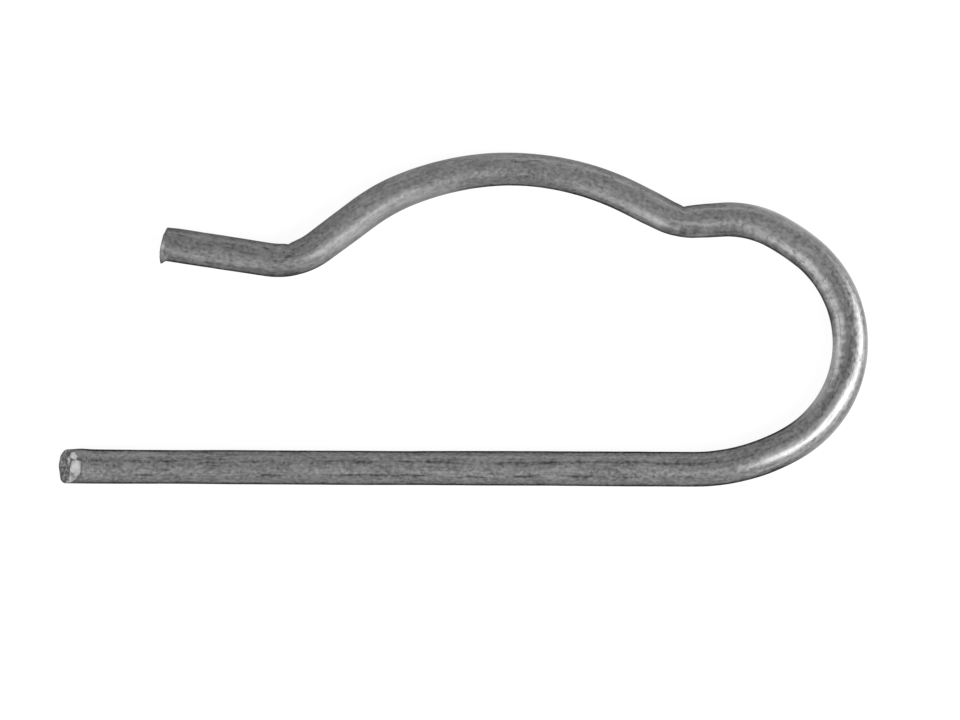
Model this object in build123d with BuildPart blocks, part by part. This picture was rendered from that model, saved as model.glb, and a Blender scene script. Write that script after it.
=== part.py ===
from build123d import *
from math import cos, radians, sin
import os

# Retaining clip bent from one piece of round spring wire.
# The straight leg goes through the cross hole of a tube or shaft and the bowed arm snaps over its
# outside. The origin is the tube's centre, on the leg's axis: +X runs along the leg to the crown,
# +Y goes from the leg to the arm, and +Z is up from the clip as it lies flat.

# The wire, and the tube that the clip is made for
wire_diameter = 3.0
tube_diameter = 48.3
hump_clearance = 0.6     # top of the tube to the underside of the hump

# Straight stretches
leg_reach = 39.4         # tube's centre to the free end of the leg
neck_run = 2.5           # crown to dip
rise_run = 3.2           # dip to hump
fall_run = 4.8           # hump to lip
lead_in_run = 9.45       # lip to the free end of the arm

# Inside radius of each bend, apart from the crown, which takes what the arm's height leaves
entry_radius = 15.9
back_radius = 17.2
shoulder_radius = 7.0
dip_radius = 3.6
hump_radius = 22.4
hump_tail_radius = 16.0
lip_radius = 4.5

# Way that the wire runs after each bend, in degrees from the leg
entry_slope = 30.0
crown_slope = 141.7
back_slope = 152.0
neck_slope = 183.8
rise_slope = 153.4
hump_top_slope = 180.0
hump_slope = 202.3
fall_slope = 216.9
lead_in_slope = 171.5

# Marks that the bending pins pressed into the hollow side of the dip and the lip
pin_mark_radius = 1.2
pin_mark_depth = 0.18

# Leg end, sheared from above: a smooth upper facet, then a rough steeper one down to the tip
shear_smooth_depth = 1.05
shear_smooth_run = 1.05
shear_rough_run = 0.95

# Arm end, sheared across the arm: rolled over on the hump's side, with a burr on the leg's side
arm_cut_bulge = 0.25
roll_over_depth = 0.15
roll_over_radius = 0.3
roll_over_turn = 60.0    # degrees
burr_height = 0.32
burr_length = 0.35

# Values worked out from those above
wire_radius = wire_diameter / 2
hump_height = tube_diameter / 2 + hump_clearance + wire_radius


def bend_shift(radius, before, after):
    """Move from one end of a bend to the other, for the radius of the wire's centre line."""
    side = 1 if after > before else -1
    shift_x = sin(radians(after)) - sin(radians(before))
    shift_y = cos(radians(before)) - cos(radians(after))
    return Vector(shift_x, shift_y) * side * radius


def run_shift(length, slope):
    """Move along a straight stretch."""
    return Vector(cos(radians(slope)), sin(radians(slope))) * length


# From the leg to the top of the hump: the crown's radius follows from the height, and the place
# where the leg ends and the bow begins follows from the hump's top being over the tube's centre
shift_without_crown = (
    bend_shift(entry_radius + wire_radius, 0, entry_slope)
    + bend_shift(back_radius + wire_radius, crown_slope, back_slope)
    + bend_shift(shoulder_radius + wire_radius, back_slope, neck_slope)
    + run_shift(neck_run, neck_slope)
    + bend_shift(dip_radius + wire_radius, neck_slope, rise_slope)
    + run_shift(rise_run, rise_slope)
    + bend_shift(hump_radius + wire_radius, rise_slope, hump_top_slope)
)
crown_shift = bend_shift(1, entry_slope, crown_slope)
crown_bend = (hump_height - shift_without_crown.Y) / crown_shift.Y
crown_radius = crown_bend - wire_radius
bow_start = -(shift_without_crown.X + crown_bend * crown_shift.X)

# Each bend in its order: inside radius, way the wire runs after it, straight stretch after it
bends = [
    (entry_radius, entry_slope, 0),
    (crown_radius, crown_slope, 0),
    (back_radius, back_slope, 0),
    (shoulder_radius, neck_slope, neck_run),
    (dip_radius, rise_slope, rise_run),
    (hump_radius, hump_slope, 0),
    (hump_tail_radius, fall_slope, fall_run),
    (lip_radius, lead_in_slope, lead_in_run),
]

with BuildPart() as clip_wire:
    # Centre line of the wire
    hollow_bends = []
    with BuildLine() as route:
        end = Vector(bow_start, 0)
        Line((-leg_reach, 0), end)
        slope = 0
        for radius, next_slope, run in bends:
            arc = JernArc(end, run_shift(1, slope), radius + wire_radius, next_slope - slope)
            if next_slope < slope:
                hollow_bends.append((arc.arc_center, radius, (slope + next_slope) / 2))
            slope = next_slope
            end = arc @ 1
            if run > 0:
                end = PolarLine(end, run, slope) @ 1
    with BuildSketch(Plane(origin=(-leg_reach, 0), z_dir=(1, 0, 0))):
        Circle(wire_radius)
    sweep(path=route.wire())

    # Pin marks, pressed into the middle of each bend that opens away from the leg
    for centre, radius, middle_slope in hollow_bends:
        to_wire = run_shift(1, middle_slope + 90)
        mark_centre = centre + to_wire * (radius + pin_mark_depth - pin_mark_radius)
        with BuildSketch(Plane.XY):
            with Locations(mark_centre):
                Circle(pin_mark_radius)
        extrude(amount=wire_diameter, both=True, mode=Mode.SUBTRACT)

    # Sheared end of the leg, cut by its outline in side view
    with BuildSketch(Plane.XZ):
        with BuildLine():
            Polyline(
                (-leg_reach, -wire_radius),
                (-leg_reach + shear_rough_run, wire_radius - shear_smooth_depth),
                (-leg_reach + shear_rough_run + shear_smooth_run, wire_radius),
                (-leg_reach + shear_rough_run + shear_smooth_run, wire_diameter),
                (-leg_reach - wire_radius, wire_diameter),
                (-leg_reach - wire_radius, -wire_radius),
                close=True,
            )
        make_face()
    extrude(amount=wire_diameter, both=True, mode=Mode.SUBTRACT)

    # Burr at the arm's end: the section slides towards the leg over the last of the wire
    arm_way = run_shift(1, lead_in_slope)
    to_leg = run_shift(burr_height, lead_in_slope + 90)
    with BuildSketch(Plane(origin=end - arm_way * burr_length, z_dir=arm_way)):
        Circle(wire_radius)
    with BuildSketch(Plane(origin=end + to_leg, z_dir=arm_way)):
        Circle(wire_radius)
    loft()

    # Sheared end of the arm, cut by its outline from above: x runs out along the wire, y to the leg
    with BuildSketch(Plane(origin=end, x_dir=arm_way, z_dir=(0, 0, 1))):
        with BuildLine():
            cut = SagittaArc(
                (-arm_cut_bulge, wire_radius + burr_height),
                (-arm_cut_bulge, roll_over_depth - wire_radius),
                arm_cut_bulge,
            )
            roll_over = JernArc(cut @ 1, cut % 1, roll_over_radius, -roll_over_turn)
            Polyline(
                roll_over @ 1,
                (-roll_over_radius - arm_cut_bulge, -wire_diameter),
                (wire_radius, -wire_diameter),
                (wire_radius, wire_diameter),
                (-arm_cut_bulge, wire_diameter),
                cut @ 0,
            )
        make_face()
    extrude(amount=wire_diameter, both=True, mode=Mode.SUBTRACT)

clip_wire.part.label = "clip_wire"

os.makedirs("parts", exist_ok=True)
export_step(clip_wire.part, "parts/clip_wire.step")
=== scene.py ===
import math

import bpy
import numpy as np
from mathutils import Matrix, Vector, noise


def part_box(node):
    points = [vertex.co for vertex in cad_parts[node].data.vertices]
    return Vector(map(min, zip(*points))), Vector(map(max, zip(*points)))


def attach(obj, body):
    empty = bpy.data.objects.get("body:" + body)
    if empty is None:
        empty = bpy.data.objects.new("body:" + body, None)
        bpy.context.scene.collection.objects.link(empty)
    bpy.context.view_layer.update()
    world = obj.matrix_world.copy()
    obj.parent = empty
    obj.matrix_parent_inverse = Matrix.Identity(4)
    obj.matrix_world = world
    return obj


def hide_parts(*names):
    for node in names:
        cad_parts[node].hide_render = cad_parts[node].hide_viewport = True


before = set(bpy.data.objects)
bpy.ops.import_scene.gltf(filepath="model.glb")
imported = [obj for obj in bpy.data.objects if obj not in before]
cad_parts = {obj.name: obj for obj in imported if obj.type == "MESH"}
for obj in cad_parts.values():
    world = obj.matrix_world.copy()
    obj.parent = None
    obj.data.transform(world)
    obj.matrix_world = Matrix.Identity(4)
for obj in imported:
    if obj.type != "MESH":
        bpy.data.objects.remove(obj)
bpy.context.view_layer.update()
print("frame loaded")

mm = 0.001
clipLow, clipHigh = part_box("clip_wire")
wireRadius = (clipHigh[2] - clipLow[2]) / 2

# Wire: its bends in order, from the leg to the arm
wireForm = {
    "around": 88,  # corners round the section
    "ringGap": 0.22,  # mm along the wire
    "fineGap": 0.1,  # mm along the wire where a pin pressed
    "bends": [
        # name, inside radius mm, way of the wire after it in degrees, straight after it mm
        ("entry", 15.9, 30.0, 0),
        ("crown", None, 141.7, 0),  # takes the radius that the arm's height leaves
        ("back", 17.2, 152.0, 0),
        ("shoulder", 7.0, 183.8, 2.5),
        ("dip", 3.6, 153.4, 3.2),
        ("hump", 22.4, 202.3, 0),
        ("humpTail", 16.0, 216.9, 4.8),
        ("lip", 4.5, 171.5, 9.45),
    ],
    "humpTopWay": 180.0,
    # how much wider the section is in the clip's plane, at the middle of each stretch
    "swell": {
        "leg": 1.0, "entry": 1.03, "crown": 1.035, "back": 1.03, "shoulder": 1.01,
        "shoulderRun": 0.99, "dip": 0.94, "dipRun": 0.99, "hump": 0.965, "humpTail": 1.02,
        "humpTailRun": 1.03, "lip": 0.99, "lipRun": 1.0,
    },
    # small unevenness: length along the wire, length across it and height, all in mm
    "waver": [(7.0, 3.0, 0.016), (1.3, 0.8, 0.006)],
}

# Marks of the bending pins, on the hollow side of these bends
pinMarks = {
    "bends": {"dip": -0.2, "lip": 0.27},  # how far past the bend's middle, mm
    "depth": 0.17,  # mm
    "length": 0.45,  # mm to each side
}


def onWay(degrees):
    return Vector((math.cos(math.radians(degrees)), math.sin(math.radians(degrees)), 0))


def bendShift(radius, before, after):
    side = 1 if after > before else -1
    return (onWay(after - 90) - onWay(before - 90)) * side * radius


def planRoute():
    # the crown's radius and the leg's length follow from the hump's top, which stands over the origin
    shift = Vector((0, 0, 0))
    way = 0
    for name, inside, after, run in wireForm["bends"]:
        if name == "crown":
            crownUnit = bendShift(1, way, after)
        elif name == "hump":
            shift += bendShift(inside * mm + wireRadius, way, wireForm["humpTopWay"])
            break
        else:
            shift += bendShift(inside * mm + wireRadius, way, after) + onWay(after) * run * mm
        way = after
    crownBend = (clipHigh[1] - wireRadius - shift.y) / crownUnit.y
    legEnd = Vector((-(shift.x + crownBend * crownUnit.x), 0, 0))

    # every stretch, with the distance along the wire at which it starts
    tip = Vector((clipLow[0], 0, 0))
    stretches = [{"name": "leg", "start": tip, "way": 0, "from": 0, "length": legEnd.x - tip.x, "turn": 0}]
    here, way, done = legEnd, 0, legEnd.x - tip.x
    for name, inside, after, run in wireForm["bends"]:
        radius = crownBend if inside is None else inside * mm + wireRadius
        side = 1 if after > way else -1
        length = math.radians(abs(after - way)) * radius
        stretches.append({
            "name": name, "start": here, "way": way, "from": done, "length": length, "side": side,
            "turn": math.radians(after - way), "radius": radius,
            "centre": here + onWay(way + 90 * side) * radius})
        here, way, done = here + bendShift(radius, way, after), after, done + length
        if run:
            stretches.append({"name": name + "Run", "start": here, "way": way, "from": done,
                              "length": run * mm, "turn": 0})
            here, done = here + onWay(way) * run * mm, done + run * mm
    return stretches


def straighten(points, stretches):
    # each point's place in the straightened wire: along it, to its left, and up
    nearest = np.full(len(points), 1e9)
    place = np.zeros((len(points), 3))
    for stretch in stretches:
        start, way = stretch["start"], math.radians(stretch["way"])
        if stretch["turn"]:
            away = points[:, :2] - np.array(stretch["centre"])[:2]
            angle = np.arctan2(away[:, 1], away[:, 0]) - way + stretch["side"] * math.pi / 2
            angle = (angle * stretch["side"] + math.pi) % (2 * math.pi) - math.pi
            along = angle * stretch["radius"]
            aside = (stretch["radius"] - np.hypot(away[:, 0], away[:, 1])) * stretch["side"]
        else:
            away = points[:, :2] - np.array(start)[:2]
            along = away @ [math.cos(way), math.sin(way)]
            aside = away @ [-math.sin(way), math.cos(way)]
        beyond = np.maximum(along - stretch["length"], 0) if stretch is not stretches[-1] else 0
        before = np.maximum(-along, 0) if stretch is not stretches[0] else 0
        miss = np.hypot(beyond + before, aside)
        here = miss < nearest
        nearest = np.where(here, miss, nearest)
        place[here] = np.c_[along + stretch["from"], aside, points[:, 2]][here]
    return place


def bendBack(place, stretches):
    # the other way round: from the straightened wire to the clip
    points = np.zeros((len(place), 3))
    points[:, 2] = place[:, 2]
    for stretch in stretches:
        here = place[:, 0] >= stretch["from"] if stretch is not stretches[0] else place[:, 0] < 1e9
        along = place[here, 0] - stretch["from"]
        aside = place[here, 1]
        way = math.radians(stretch["way"])
        if stretch["turn"]:
            side = stretch["side"]
            angle = way - side * math.pi / 2 + along / stretch["radius"] * side
            reach = stretch["radius"] - aside * side
            points[here, 0] = stretch["centre"].x + np.cos(angle) * reach
            points[here, 1] = stretch["centre"].y + np.sin(angle) * reach
        else:
            points[here, 0] = stretch["start"].x + np.cos(way) * along - np.sin(way) * aside
            points[here, 1] = stretch["start"].y + np.sin(way) * along + np.cos(way) * aside
    return points


def drawWire(stretches):
    # a ring is drawn out along the straights and spun round the bends
    bpy.ops.object.select_all(action="DESELECT")
    bpy.ops.mesh.primitive_circle_add(vertices=wireForm["around"], radius=wireRadius, fill_type="NOTHING",
                                      location=stretches[0]["start"], rotation=(0, math.radians(90), 0))
    piece = bpy.context.object
    piece.name = "clipWire"
    piece.data.name = "clipWire"
    bpy.ops.object.transform_apply(location=True, rotation=True, scale=True)
    bpy.ops.object.mode_set(mode="EDIT")
    bpy.ops.mesh.select_all(action="SELECT")
    for stretch in stretches:
        gap = wireForm["fineGap"] if stretch["name"] in pinMarks["bends"] else wireForm["ringGap"]
        rings = round(stretch["length"] / (gap * mm))
        if stretch["turn"]:
            # with no window, spin turns clockwise
            bpy.ops.mesh.spin(steps=rings, angle=-stretch["turn"], center=stretch["centre"],
                              axis=(0, 0, 1), use_auto_merge=False)
        else:
            step = onWay(stretch["way"]) * stretch["length"] / rings
            bpy.ops.mesh.extrude_repeat(steps=rings, offset=step, scale_offset=1)
    bpy.ops.object.mode_set(mode="OBJECT")
    return piece


stretches = planRoute()
clipWire = drawWire(stretches)
wireLength = stretches[-1]["from"] + stretches[-1]["length"]
print(f"wire drawn, {wireLength / mm:.1f} mm long, {len(clipWire.data.vertices)} points")

# Sheared ends, in mm where no share is given
legCut = {
    "smoothDepth": 1.05,
    "smoothRun": 1.05,
    "roughRun": 0.95,
    "tipOut": 0.17,
    "crestWaver": 0.09,
    "crestSize": 0.5,
    "crestWidth": 0.12,
    "tearing": 0.12,
    "tearSize": 0.34,
    "fineTear": 2.3,  # how many times finer the second tearing is
    "rimTear": 0.15,  # share of the tearing that reaches the rim
    "rimShare": 0.1,  # width of the rim as a share of the radius
    "fuller": 0.16,
    "fullerFrom": 0.4,  # share of the radius, on the right, from which the tip is fuller
    "sideBulge": 0.07,
    "bulgeAt": 1.4,
    "bulgeLength": 0.9,
    "bulgeSide": 1.4,  # how soon across the wire the bulge is full
}
armCut = {
    "short": 0.05,
    "bulge": 0.14,
    "bulgeTop": 0.35,  # where the face stands out most, as a share of the radius towards the leg
    "topRound": 0.48,
    "rightRound": 0.55,  # share of the rounding that the hump's side has
    "roundFrom": 0.6,  # share of the radius from which the face is rounded
    "upperRise": 1.5,  # how soon above the middle the rounding is full
    "rimFrom": 0.7,  # share of the radius from which the roll-over and the burr begin
    "rollOver": 0.06,
    "rollDepth": 0.05,
    "rollLength": 1.2,
    "burrHeight": 0.3,
    "burrLength": 0.55,
    "burrBack": 0.12,
    "tearing": 0.03,
    "tearSize": 0.3,
    "torn": 0.6,  # how dull the torn face looks, from 0 to 1
}
endRings = 14  # rings from the rim of a cut to its middle
blendLength = 4.0  # mm of wire over which the rings straighten up behind a cut


def closeEnd(piece, ring, centre):
    # rings drawn in from the rim, and a small cap in the middle
    count = len(piece.data.vertices)
    chosen = np.zeros(count, bool)
    chosen[ring] = True
    bpy.ops.object.mode_set(mode="EDIT")
    bpy.ops.mesh.select_mode(type="VERT")
    bpy.ops.mesh.select_all(action="DESELECT")
    bpy.ops.object.mode_set(mode="OBJECT")
    piece.data.vertices.foreach_set("select", chosen)
    bpy.ops.object.mode_set(mode="EDIT")
    for number in range(1, endRings):
        shrink = (endRings - number) / (endRings - number + 1)
        bpy.ops.mesh.extrude_edges_move()
        bpy.ops.transform.resize(value=(shrink, shrink, shrink), center_override=centre)
    bpy.ops.mesh.edge_face_add()
    bpy.ops.mesh.poke()
    bpy.ops.object.mode_set(mode="OBJECT")


def readPoints(mesh):
    flat = np.zeros(len(mesh.vertices) * 3)
    mesh.vertices.foreach_get("co", flat)
    return flat.reshape(-1, 3)


def smoothStep(value):
    value = np.clip(value, 0, 1)
    return value * value * (3 - 2 * value)


def pastShare(value, share):
    # 0 up to a share of the radius, then rising to 1 at the whole radius
    return smoothStep((value - share) / (1 - share))


seedGap = 17.3  # how far apart the seeds' noises lie
noiseGain = 1.6


def grain(place, along, across, seed):
    # smooth noise, from about -1 to 1, on the straightened wire in mm
    scaled = place / [along, across, across] + seed * seedGap
    return np.array([noise.noise(Vector(row)) for row in scaled]) * noiseGain


def shapeWire(piece):
    radius = wireRadius / mm
    mesh = piece.data
    place = straighten(readPoints(mesh), stretches) / mm
    plain = place.copy()
    along, left, up = place.T
    total = wireLength / mm

    # section a little wider or narrower at each bend
    middles = [(s["from"] + s["length"] / 2) / mm for s in stretches]
    left *= np.interp(along, middles, [wireForm["swell"][s["name"]] for s in stretches])

    # creases left by the bending pins, sharpest on the hollow side, which is on the right there
    for stretch in stretches:
        if stretch["name"] in pinMarks["bends"]:
            middle = (stretch["from"] + stretch["length"] / 2) / mm + pinMarks["bends"][stretch["name"]]
            crease = np.exp(-np.abs(along - middle) / pinMarks["length"])
            left += pinMarks["depth"] * crease * smoothStep(-plain[:, 1] / radius * 1.3)

    # small unevenness of the drawn wire
    reach = np.hypot(plain[:, 1], plain[:, 2]) / radius
    for number, (long, wide, height) in enumerate(wireForm["waver"]):
        swell = 1 + grain(plain, long, wide, number) * height / radius
        left *= swell
        up *= swell

    # leg's end: a smooth facet at the top, a torn one below it
    crest = radius - legCut["smoothDepth"]
    crest += grain(plain * [0, 1, 0], 1, legCut["crestSize"], 6) * legCut["crestWaver"]
    side = plain[:, 1]
    smoothCut = legCut["roughRun"] + (plain[:, 2] - crest) / legCut["smoothDepth"] * legCut["smoothRun"]
    tornRun = legCut["roughRun"] + legCut["tipOut"]
    tornCut = (plain[:, 2] + radius) / (crest + radius) * tornRun - legCut["tipOut"]
    cut = np.where(plain[:, 2] > crest, smoothCut, tornCut)
    torn = smoothStep((crest - plain[:, 2]) / legCut["crestWidth"] + 0.5)
    inCap = smoothStep((1 - reach) / legCut["rimShare"])
    fineTear = grain(plain, 1, legCut["tearSize"] / legCut["fineTear"], 4)
    tear = grain(plain, 1, legCut["tearSize"], 3) + 0.5 * fineTear
    rimTear = legCut["rimTear"]
    cut += tear * legCut["tearing"] * torn * (rimTear + (1 - rimTear) * inCap)
    cut -= legCut["fuller"] * pastShare(-side / radius, legCut["fullerFrom"]) * torn
    bulge = np.exp(-((along - legCut["bulgeAt"]) / legCut["bulgeLength"]) ** 2)
    left += legCut["sideBulge"] * bulge * smoothStep(side / radius * legCut["bulgeSide"])
    near = along < blendLength
    along[near] = (cut + along * (blendLength - cut) / blendLength)[near]

    # arm's end: bulged face, rolled over on the hump's side, burr on the leg's side
    back = total - plain[:, 0]
    cut = armCut["short"] + armCut["bulge"] * (side / radius - armCut["bulgeTop"]) ** 2
    rightRound = armCut["rightRound"]
    rounding = armCut["topRound"] * (rightRound + (1 - rightRound) * smoothStep(side / radius + 0.5))
    upper = smoothStep(plain[:, 2] / radius * armCut["upperRise"])
    cut += rounding * pastShare(reach, armCut["roundFrom"]) ** 1.5 * upper
    rolled = pastShare(-side / radius, armCut["rimFrom"])
    cut += armCut["rollOver"] * rolled ** 2
    cut += armCut["burrBack"] * pastShare(side / radius, armCut["rimFrom"])
    tear = grain(plain, 1, armCut["tearSize"], 5)
    cut += tear * armCut["tearing"] * inCap
    burr = smoothStep(1 - back / armCut["burrLength"]) ** 2 * smoothStep(side / radius)
    near = back < blendLength
    fade = smoothStep(1 - back / armCut["rollLength"])
    left[near] += (armCut["burrHeight"] * burr + armCut["rollDepth"] * rolled * fade)[near]
    along[near] = (total - cut - back * (blendLength - cut) / blendLength)[near]

    points = bendBack(np.c_[along, left, up] * mm, stretches)
    mesh.vertices.foreach_set("co", points.ravel())

    # what the finishes read: the place along and across the wire, and where a cut is torn
    spot = mesh.attributes.new("wirePlace", "FLOAT_VECTOR", "POINT")
    spot.data.foreach_set("vector", (plain * mm).astype(np.float32).ravel())
    tornSpot = mesh.attributes.new("torn", "FLOAT", "POINT")
    torn = np.where(plain[:, 0] < total / 2, torn, armCut["torn"])
    tornSpot.data.foreach_set("value", torn.astype(np.float32))
    mesh.update()
    return plain


around = wireForm["around"]
last = len(clipWire.data.vertices)
closeEnd(clipWire, np.arange(around), stretches[0]["start"])
armEnd = Vector(bendBack(np.array([[wireLength, 0, 0]]), stretches)[0])
closeEnd(clipWire, np.arange(last - around, last), armEnd)
wirePlaces = shapeWire(clipWire)
print(f"ends and bends shaped, {len(clipWire.data.vertices)} points")

bpy.ops.object.mode_set(mode="EDIT")
bpy.ops.mesh.select_all(action="SELECT")
bpy.ops.mesh.remove_doubles(threshold=0.002 * mm)
bpy.ops.mesh.normals_make_consistent(inside=False)
bpy.ops.object.mode_set(mode="OBJECT")
bpy.ops.object.shade_smooth_by_angle(angle=math.radians(38))

# Drawn steel: dull grey, with the drawing die's lines along it, the wear of bending and handling, painted
# highlights and painted shade
drawnLook = {
    "dark": (0.052, 0.052, 0.052, 1),
    "light": (0.285, 0.285, 0.285, 1),
    # grey of the painted highlights
    "bright": (0.42, 0.42, 0.42, 1),
    "tone": 0.5,  # from dark to light, before the marks
    "edgeTint": (0.25, 0.25, 0.25, 1),
    "sheenTint": (0.9, 0.9, 0.9, 1),
    "fullTint": 0.6,  # painted sheen that gives the whole sheen tint
    "roughness": 0.33,
    "bumpHeight": 0.012,  # mm
    # lines scored by the die: place to the wire's left, waver and width in mm
    "scores": [
        {"left": 0.5, "waver": 0.25, "width": 0.17, "seed": 2.3},
        {"left": -0.66, "waver": 0.16, "width": 0.15, "seed": 7.9},
    ],
    "scoreCore": 0.4,  # share of a score's width that is full
    "scoreBreaks": (0.44, 0.6),
    # grain of each mark: how fine along and across the wire, and the part of the noise that shows
    "grains": {
        "dieLines": {"scale": (0.25, 5, 5), "detail": 3},
        "mottle": {"scale": (2.8, 3.6, 3.6), "detail": 3},
        "clouds": {"scale": (0.35, 0.9, 0.9), "detail": 3, "shift": (1, 5, 2)},
        "seams": {"scale": (0.4, 3.4, 3.4), "detail": 4, "shift": (3, 1, 7), "distortion": 0.5,
                  "shown": (0.57, 0.68)},
        "pits": {"scale": (2.0, 2.6, 2.6), "detail": 1, "shift": (9, 2, 4), "shown": (0.70, 0.76)},
        "specks": {"scale": (3.2, 4.2, 4.2), "detail": 1, "shift": (4, 8, 1), "shown": (0.72, 0.8)},
        "scratches": {"scale": (0.45, 5, 2), "detail": 3, "turn": 50, "shown": (0.6, 0.68)},
        "wrinkles": {"scale": (1.5, 0.8, 0.8), "detail": 2, "distortion": 0.4, "shown": (0.42, 0.7)},
    },
    # how the clouds break up seams, scratches and painted highlights
    "cloudedSeams": (0.42, 0.56),
    "clearScratches": (0.6, 0.45),
    "cloudedSheen": (0.3, 0.65, 0.6, 1.1),
    # stretches by mm from the leg's tip: start, end and how softly they begin and end
    "scored": (2, 62, 5),
    "speckled": (-5, 60, 10),
    "outerArm": (66, 150, 4),
    "wrinkled": (70, 97, 3),
    # a painted dark reflection along the crown
    "darkReflectionStretch": (74, 78, 4),
    "dulled": (116, 130, 4),
    # darker on the wire's right side near the arm's end
    "darkerRightStretch": (129, 144, 2),
    # stretches with painted highlights, and how strong; on the outside the wire is also rubbed a little
    # smoother
    "rubbedAndSheen": [((68, 89, 5), 0.78), ((100, 121, 3), 0.3), ((125, 149, 3), 0.12)],
    "innerEdge": [((69, 74, 4), 0.5), ((118, 129, 4), 0.3)],
    "sheenOnLeft": [((77, 97, 5), 0.2)],
    "sheenCore": [((62, 70, 3), 0.4)],
    # bands by mm to the wire's left: where each begins and where it is full
    "bands": {
        "outside": (-1.05, -1.45),
        "innerRim": (0.7, 1.2),
        "sheenOnLeft": (-0.3, 0.45),
        "overRight": (-0.85, -0.5),
        "overLeft": (0.35, 0.05),
        "outerSide": (0.1, -0.1),
        "wrinkled": (0.2, 0.6),
        "darkerRightStretch": (0.2, -0.3),
        # band of the painted dark reflection along the crown
        "darkReflectionRight": (-0.75, -0.45),
        "darkReflectionLeft": (0.6, 0.2),
        # band of the painted shade at the leg's tip
        "tipEdge": (0.7, 0.1),
    },
    "flankShade": (1.3, 1.45),  # mm to either side, where painted shade darkens the flanks
    "sheenClearsFlank": 0.4,  # painted sheen that takes the flank's painted shade away
    "flankStart": (1.0, 2.0),  # mm from the leg's tip
    # painted shade along the edge at the leg's tip
    "tipEdge": (0.3, 0.08),
    "mottleRange": (0.95, 1.15),  # strength of the mottle off and on the speckled stretch
    # how much each mark lightens the steel, roughens it and stands out of it
    "toneOf": {
        "dieLines": 0.3, "speckles": 1.0, "clouds": 0.5, "seams": -0.3, "scores": -0.36, "pits": -0.28,
        # the dark band along the crown is a painted dark reflection
        "specks": 0.3, "scratches": -0.16, "wrinkles": -0.5, "darkerRight": -0.12, "darkReflection": -0.26,
        # painted shade at the tip's edge and along the flanks
        "tipEdge": -0.3, "flankShade": -0.4,
    },
    "roughnessOf": {"mottle": 0.3, "seams": 0.12, "rubbedAndSheen": -0.06, "dulled": 0.1},
    "reliefOf": {
        "dieLines": 0.6, "mottle": 1.0, "pits": -0.8, "seams": -0.4, "scores": -0.5, "scratches": -0.4,
        "wrinkles": -0.5,
    },
}
# Sheared steel: bright where the blade slid over it, partly burnish and partly painted highlight, dark and
# grainy where it tore
cutLook = {
    "smooth": (0.36, 0.36, 0.36, 1),
    "dull": (0.06, 0.06, 0.06, 1),
    "edgeTint": (0.4, 0.4, 0.4, 1),
    "bumpHeight": 0.03,  # mm
    # burnished patches of the leg's smooth facet, painted brighter as highlights: middle to the left and up,
    # half width and half height in mm, then how bright
    "burnishAndSheen": [
        ((-0.12, 1.0, 0.66, 0.7), 0.95),
        ((0.98, 0.85, 0.36, 0.5), 0.8),
        ((-1.05, 0.5, 0.5, 0.8), 0.4),
    ],
    "patchCrumble": 1.6,  # how uneven the patches' outlines are
    "patchEdge": (1.2, 0.7),
    "patchTorn": (0.75, 0.35),
    "crumble": {"scale": (1, 2.4, 2.4), "detail": 4},
    "shade": {"scale": (1, 1.5, 1.5), "detail": 2, "shift": (2, 4, 1)},
    "toneOf": {"rough": 1.9, "torn": 0.26, "shade": 0.9},
    "roughness": (0.5, 0.3),  # plain and on the burnished patches
    "relief": (1, 0.15),
}


def newSteel(name):
    steel = bpy.data.materials.new(name)
    steel.use_nodes = True
    steel.node_tree.nodes["Principled BSDF"].inputs["Metallic"].default_value = 1
    return steel


def wireSpot(tree):
    # place on the straightened wire, in mm
    spot = tree.nodes.new("ShaderNodeAttribute")
    spot.attribute_name = "wirePlace"
    toMm = tree.nodes.new("ShaderNodeVectorMath")
    toMm.operation = "SCALE"
    toMm.inputs["Scale"].default_value = 1 / mm
    tree.links.new(spot.outputs["Vector"], toMm.inputs[0])
    return toMm.outputs[0]


def spread(tree, spot, scale, turn=0, shift=(0, 0, 0)):
    mapping = tree.nodes.new("ShaderNodeMapping")
    mapping.inputs["Scale"].default_value = scale
    mapping.inputs["Rotation"].default_value = (0, 0, math.radians(turn))
    mapping.inputs["Location"].default_value = shift
    tree.links.new(spot, mapping.inputs["Vector"])
    return mapping.outputs["Vector"]


def grainNode(tree, spot, detail=2, distortion=0):
    grains = tree.nodes.new("ShaderNodeTexNoise")
    grains.inputs["Scale"].default_value = 1
    grains.inputs["Detail"].default_value = detail
    grains.inputs["Distortion"].default_value = distortion
    tree.links.new(spot, grains.inputs["Vector"])
    return grains.outputs["Fac"]


def window(tree, value, fromLow, fromHigh, toLow=0, toHigh=1):
    # remap with clamped ends
    remap = tree.nodes.new("ShaderNodeMapRange")
    remap.inputs["From Min"].default_value = fromLow
    remap.inputs["From Max"].default_value = fromHigh
    remap.inputs["To Min"].default_value = toLow
    remap.inputs["To Max"].default_value = toHigh
    tree.links.new(value, remap.inputs["Value"])
    return remap.outputs["Result"]


def math2(tree, operation, first, second):
    node = tree.nodes.new("ShaderNodeMath")
    node.operation = operation
    for socket, value in zip(node.inputs, (first, second)):
        if isinstance(value, (int, float)):
            socket.default_value = value
        else:
            tree.links.new(value, socket)
    return node.outputs[0]


def tones(tree, factor, dark, light):
    mix = tree.nodes.new("ShaderNodeMix")
    mix.data_type = "RGBA"
    mix.inputs["A"].default_value = dark
    mix.inputs["B"].default_value = light
    tree.links.new(factor, mix.inputs["Factor"])
    return mix.outputs["Result"]


def bumpFrom(tree, height, depth):
    bump = tree.nodes.new("ShaderNodeBump")
    bump.inputs["Distance"].default_value = depth * mm
    tree.links.new(height, bump.inputs["Height"])
    return bump.outputs["Normal"]


def weighed(tree, start, parts):
    # a starting value and each part times its weight, added up
    total = start
    for part, weight in parts:
        total = math2(tree, "ADD", math2(tree, "MULTIPLY", part, weight), total)
    return total


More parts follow.
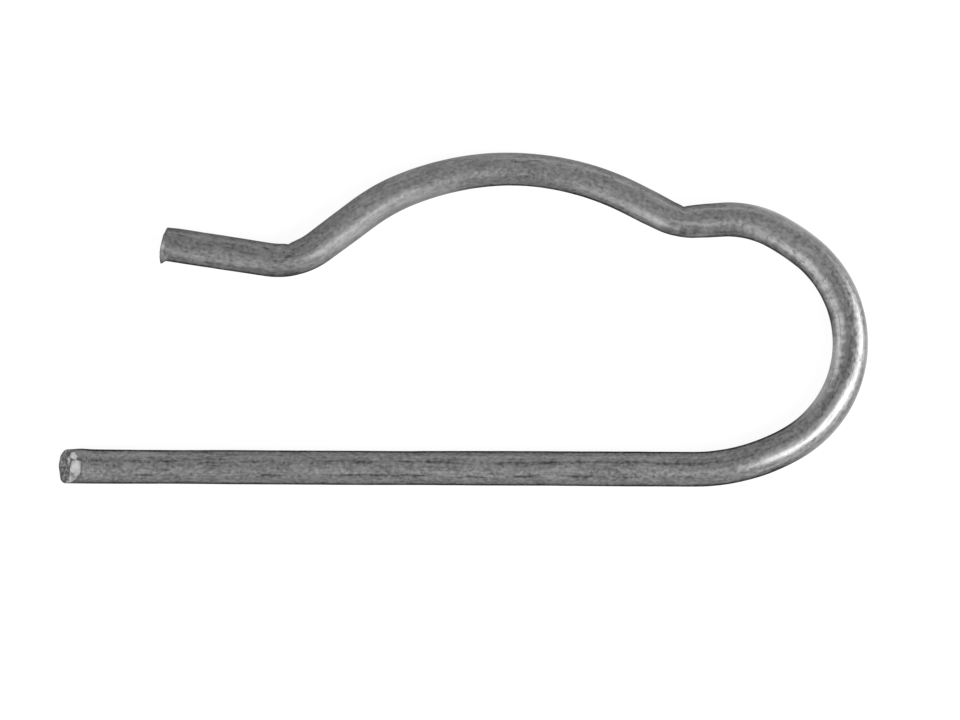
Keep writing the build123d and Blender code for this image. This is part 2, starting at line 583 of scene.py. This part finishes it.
def both(tree, first, second):
    return math2(tree, "MULTIPLY", first, second)


def centred(tree, value):
    # noise from 0 to 1 brought round 0
    return math2(tree, "SUBTRACT", value, 0.5)


def opposite(tree, value):
    return math2(tree, "SUBTRACT", 1, value)


def grainMark(tree, spot, scale, detail, shift=(0, 0, 0), turn=0, distortion=0, shown=None):
    grains = grainNode(tree, spread(tree, spot, scale, turn, shift), detail, distortion)
    return window(tree, grains, *shown) if shown else grains


def stretchMask(tree, along, low, high, soft):
    # 1 on the wire from low to high, in mm from the leg's tip
    return both(tree, window(tree, along, low - soft, low), window(tree, along, high, high + soft, 1, 0))


def stretchOf(tree, along, name):
    return stretchMask(tree, along, *drawnLook[name])


def sheenAlong(tree, along, name):
    parts = [(stretchMask(tree, along, *reach), strength) for reach, strength in drawnLook[name]]
    return weighed(tree, 0, parts)


def band(tree, left, name):
    return window(tree, left, *drawnLook["bands"][name])


def dieScore(tree, spot, left, score):
    # a line that the die scored along the wire, wavering a little and broken up
    waver = grainMark(tree, spot, (0.09, 0, 0), 1, shift=(score["seed"], 0, 0))
    offset = math2(tree, "SUBTRACT", left, score["left"])
    offset = weighed(tree, offset, [(waver, score["waver"] * 2)])
    offset = math2(tree, "ABSOLUTE", math2(tree, "SUBTRACT", offset, score["waver"]), 0)
    line = window(tree, offset, score["width"] * drawnLook["scoreCore"], score["width"], 1, 0)
    breaks = grainMark(tree, spot, (0.42, 2.2, 2.2), 3, shift=(score["seed"], 3, 0),
                       shown=drawnLook["scoreBreaks"])
    return both(tree, line, breaks)


def drawnSteel():
    steel = newSteel("drawnSteel")
    tree = steel.node_tree
    skin = tree.nodes["Principled BSDF"]
    spot = wireSpot(tree)
    parts = tree.nodes.new("ShaderNodeSeparateXYZ")
    tree.links.new(spot, parts.inputs[0])
    along, left = parts.outputs["X"], parts.outputs["Y"]

    marks = {name: grainMark(tree, spot, **grains) for name, grains in drawnLook["grains"].items()}
    clouds = marks["clouds"]
    for name in ("dieLines", "mottle", "clouds"):
        marks[name] = centred(tree, marks[name])
    marks["seams"] = both(tree, marks["seams"], window(tree, clouds, *drawnLook["cloudedSeams"]))
    marks["scratches"] = both(tree, marks["scratches"], window(tree, clouds, *drawnLook["clearScratches"]))
    scores = 0
    for score in drawnLook["scores"]:
        scores = math2(tree, "MAXIMUM", scores, dieScore(tree, spot, left, score))
    marks["scores"] = both(tree, scores, stretchOf(tree, along, "scored"))

    # painted highlights on the outside of the crown and arm, where the wire is also rubbed a little
    # smoother, and painted highlights in bands nearer the middle
    outside = both(tree, band(tree, left, "outside"), sheenAlong(tree, along, "rubbedAndSheen"))
    inner = both(tree, band(tree, left, "innerRim"), sheenAlong(tree, along, "innerEdge"))
    rubbedAndSheen = math2(tree, "ADD", outside, inner)
    marks["rubbedAndSheen"] = rubbedAndSheen
    bandSheen = both(tree, band(tree, left, "sheenOnLeft"), sheenAlong(tree, along, "sheenOnLeft"))
    over = both(tree, band(tree, left, "overRight"), band(tree, left, "overLeft"))
    bandSheen = math2(tree, "ADD", bandSheen, both(tree, over, sheenAlong(tree, along, "sheenCore")))
    # painted highlights, broken up by the clouds
    clouded = window(tree, clouds, *drawnLook["cloudedSheen"])
    paintedSheen = both(tree, math2(tree, "ADD", rubbedAndSheen, bandSheen), clouded)

    # painted shade along the flanks, but not under the painted sheen, at the leg's tip or on the outer side
    # of the arm
    flankShade = window(tree, math2(tree, "ABSOLUTE", left, 0), *drawnLook["flankShade"])
    flankShade = both(tree, flankShade, opposite(tree, window(tree, rubbedAndSheen, 0, drawnLook["sheenClearsFlank"])))
    flankShade = both(tree, flankShade, window(tree, along, *drawnLook["flankStart"]))
    outerArm = both(tree, stretchOf(tree, along, "outerArm"), band(tree, left, "outerSide"))
    marks["flankShade"] = both(tree, flankShade, opposite(tree, outerArm))

    # fine wrinkles inside the crown, a darker patch on the wire's right side near the arm's end, a painted
    # dark reflection along the crown and painted shade along the edge at the leg's tip
    inside = both(tree, band(tree, left, "wrinkled"), stretchOf(tree, along, "wrinkled"))
    marks["wrinkles"] = both(tree, marks["wrinkles"], inside)
    marks["darkerRight"] = both(tree, band(tree, left, "darkerRightStretch"), stretchOf(tree, along, "darkerRightStretch"))
    darkReflection = both(tree, band(tree, left, "darkReflectionRight"), band(tree, left, "darkReflectionLeft"))
    marks["darkReflection"] = both(tree, darkReflection, stretchOf(tree, along, "darkReflectionStretch"))
    marks["tipEdge"] = both(tree, window(tree, along, *drawnLook["tipEdge"]), band(tree, left, "tipEdge"))
    marks["dulled"] = stretchOf(tree, along, "dulled")
    speckled = window(tree, stretchOf(tree, along, "speckled"), 0, 1, *drawnLook["mottleRange"])
    marks["speckles"] = both(tree, marks["mottle"], speckled)

    def allMarks(start, weights):
        return weighed(tree, start, [(marks[name], weight) for name, weight in weights.items()])

    tone = allMarks(drawnLook["tone"], drawnLook["toneOf"])
    grey = tones(tree, tone, drawnLook["dark"], drawnLook["light"])
    # the painted highlights mixed into the grey
    bright = tree.nodes.new("ShaderNodeMix")
    bright.data_type = "RGBA"
    bright.inputs["B"].default_value = drawnLook["bright"]
    tree.links.new(grey, bright.inputs["A"])
    tree.links.new(paintedSheen, bright.inputs["Factor"])
    tree.links.new(bright.outputs["Result"], skin.inputs["Base Color"])
    tree.links.new(allMarks(drawnLook["roughness"], drawnLook["roughnessOf"]), skin.inputs["Roughness"])
    relief = allMarks(0, drawnLook["reliefOf"])
    tree.links.new(bumpFrom(tree, relief, drawnLook["bumpHeight"]), skin.inputs["Normal"])
    tinted = window(tree, rubbedAndSheen, 0, drawnLook["fullTint"])
    tree.links.new(tones(tree, tinted, drawnLook["edgeTint"], drawnLook["sheenTint"]),
                   skin.inputs["Specular Tint"])
    return steel


def patchOval(tree, spot, place):
    # how far out a point lies from an oval's middle: 0 in the middle, 1 on the oval
    left, up, wide, high = place
    oval = spread(tree, spot, (0, 1 / wide, 1 / high), shift=(0, -left / wide, -up / high))
    length = tree.nodes.new("ShaderNodeVectorMath")
    length.operation = "LENGTH"
    tree.links.new(oval, length.inputs[0])
    return length.outputs["Value"]


def shearedSteel():
    steel = newSteel("shearedSteel")
    tree = steel.node_tree
    skin = tree.nodes["Principled BSDF"]
    spot = wireSpot(tree)
    torn = tree.nodes.new("ShaderNodeAttribute")
    torn.attribute_name = "torn"
    tornPart = torn.outputs["Fac"]
    crumble = grainMark(tree, spot, **cutLook["crumble"])
    shade = grainMark(tree, spot, **cutLook["shade"])
    # burnished patches, painted brighter as highlights
    burnishAndSheen = 0
    for place, strength in cutLook["burnishAndSheen"]:
        outward = patchOval(tree, spot, place)
        outward = weighed(tree, outward, [(centred(tree, crumble), cutLook["patchCrumble"])])
        inside = both(tree, window(tree, outward, *cutLook["patchEdge"]), strength)
        burnishAndSheen = math2(tree, "MAXIMUM", burnishAndSheen, inside)
    burnishAndSheen = both(tree, burnishAndSheen, window(tree, tornPart, *cutLook["patchTorn"]))
    toneOf = cutLook["toneOf"]
    factor = weighed(tree, burnishAndSheen, [
        (both(tree, centred(tree, crumble), tornPart), toneOf["rough"]),
        (tornPart, toneOf["torn"]),
        (centred(tree, shade), toneOf["shade"])])
    tree.links.new(tones(tree, factor, cutLook["dull"], cutLook["smooth"]), skin.inputs["Base Color"])
    tree.links.new(window(tree, burnishAndSheen, 0, 1, *cutLook["roughness"]), skin.inputs["Roughness"])
    relief = both(tree, crumble, window(tree, burnishAndSheen, 0, 1, *cutLook["relief"]))
    tree.links.new(bumpFrom(tree, relief, cutLook["bumpHeight"]), skin.inputs["Normal"])
    skin.inputs["Specular Tint"].default_value = cutLook["edgeTint"]
    return steel


def dressWire(piece):
    piece.data.materials.append(drawnSteel())
    piece.data.materials.append(shearedSteel())
    # a face belongs to a cut when all its corners lie in the plane of the wire's end
    spots = np.zeros(len(piece.data.vertices) * 3, np.float32)
    piece.data.attributes["wirePlace"].data.foreach_get("vector", spots)
    along = spots.reshape(-1, 3)[:, 0]
    endGap = 0.01 * mm
    atEnd = (along < endGap) | (along > wireLength - endGap)
    for face in piece.data.polygons:
        face.material_index = int(all(atEnd[corner] for corner in face.vertices))


dressWire(clipWire)
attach(clipWire, "root")
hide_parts("clip_wire")
print("steel finished")

# Room: a white floor, an even sky and soft boxes
room = {
    "floorSize": 4.0,  # m
    "floorGlow": 0.92,
    "floorColour": (0.13, 0.13, 0.13, 1),
    "skyInMetal": 1.0,
    "skyOnPaint": 0.3,
    "boxDistance": 0.6,  # m
    # middle by compass angle from +X and height over the floor, then where the long side points
    # (the same way), length and width in m, and brightness
    "softBoxes": [
        ("keyBox", (-7, 31), (57, -48), 1.12, 0.34, 5.8),
        ("lowBox", (-30, 6), (60, 0), 1.20, 0.30, 1.6),
        ("fillBox", (204, 17), (296, 20), 1.20, 0.85, 1.65),
        ("edgeBox", (60, 5), (149, -6), 1.20, 0.20, 1.2),
    ],
}


def lookWay(angle, height):
    angle, height = math.radians(angle), math.radians(height)
    return Vector((math.cos(angle) * math.cos(height), math.sin(angle) * math.cos(height), math.sin(height)))


def whiteForViews(tree):
    # 1 for camera, glossy and transmission rays, so that the background and its reflections are white
    path = tree.nodes.new("ShaderNodeLightPath")
    seen = math2(tree, "MAXIMUM", path.outputs["Is Camera Ray"], path.outputs["Is Glossy Ray"])
    return math2(tree, "MAXIMUM", seen, path.outputs["Is Transmission Ray"])


def buildSky():
    sky = bpy.data.worlds.new("evenSky")
    bpy.context.scene.world = sky
    sky.use_nodes = True
    tree = sky.node_tree
    glow = tree.nodes["Background"]
    glow.inputs["Color"].default_value = (1, 1, 1, 1)
    strength = window(tree, whiteForViews(tree), 0, 1, room["skyOnPaint"], room["skyInMetal"])
    tree.links.new(strength, glow.inputs["Strength"])


def buildFloor():
    bpy.ops.object.select_all(action="DESELECT")
    lowest = readPoints(clipWire.data)[:, 2].min()
    bpy.ops.mesh.primitive_plane_add(size=room["floorSize"], location=(0, 0, lowest))
    floor = bpy.context.object
    floor.name = "paleFloor"
    paper = bpy.data.materials.new("whitePaper")
    paper.use_nodes = True
    tree = paper.node_tree
    skin = tree.nodes["Principled BSDF"]
    skin.inputs["Base Color"].default_value = room["floorColour"]
    skin.inputs["Roughness"].default_value = 1
    skin.inputs["Specular IOR Level"].default_value = 0
    skin.inputs["Emission Color"].default_value = (1, 1, 1, 1)
    tree.links.new(math2(tree, "MULTIPLY", whiteForViews(tree), room["floorGlow"]),
                   skin.inputs["Emission Strength"])
    floor.data.materials.append(paper)


def buildSoftBoxes():
    for name, middle, side, length, width, brightness in room["softBoxes"]:
        bpy.ops.object.select_all(action="DESELECT")
        outward = lookWay(*middle)
        long = lookWay(*side)
        long = (long - outward * long.dot(outward)).normalized()
        across = outward.cross(long)
        bpy.ops.object.light_add(type="AREA", location=outward * room["boxDistance"])
        box = bpy.context.object
        box.name = name
        # a lamp shines along its own -Z, so its Z points outward
        turn = box.rotation_euler.to_matrix()
        turn.col[0], turn.col[1], turn.col[2] = long, across, outward
        box.rotation_euler = turn.to_euler()
        box.data.shape = "RECTANGLE"
        box.data.size, box.data.size_y = length, width
        box.data.energy = brightness * math.pi * length * width


# Camera: looking straight down on the clip, as in the photograph
camera = {
    "imageSize": (960, 720),
    "pixelsPerMm": 11.4,
    "tubeCentre": (508.86, 468.47),  # pixel of the frame's origin, from the image's top left corner
    "roll": 0.263,  # degrees
    "lens": 250,
    "sensor": 36,
}


def placeCamera():
    width, height = camera["imageSize"]
    aside = Vector((width / 2 - camera["tubeCentre"][0], camera["tubeCentre"][1] - height / 2, 0))
    turned = math.radians(camera["roll"])
    x = aside.x * math.cos(turned) - aside.y * math.sin(turned)
    y = aside.x * math.sin(turned) + aside.y * math.cos(turned)
    distance = camera["lens"] / camera["sensor"] * width / camera["pixelsPerMm"]
    bpy.ops.object.select_all(action="DESELECT")
    bpy.ops.object.camera_add(
        location=(x / camera["pixelsPerMm"] * mm, y / camera["pixelsPerMm"] * mm, distance * mm),
        rotation=(0, 0, turned))
    eye = bpy.context.object
    eye.name = "topCamera"
    eye.data.lens = camera["lens"]
    eye.data.sensor_width = camera["sensor"]
    eye.data.clip_start = 0.01
    bpy.context.scene.camera = eye


buildSky()
buildFloor()
buildSoftBoxes()
placeCamera()
bpy.context.scene.view_settings.view_transform = "Standard"
print("room and camera ready")
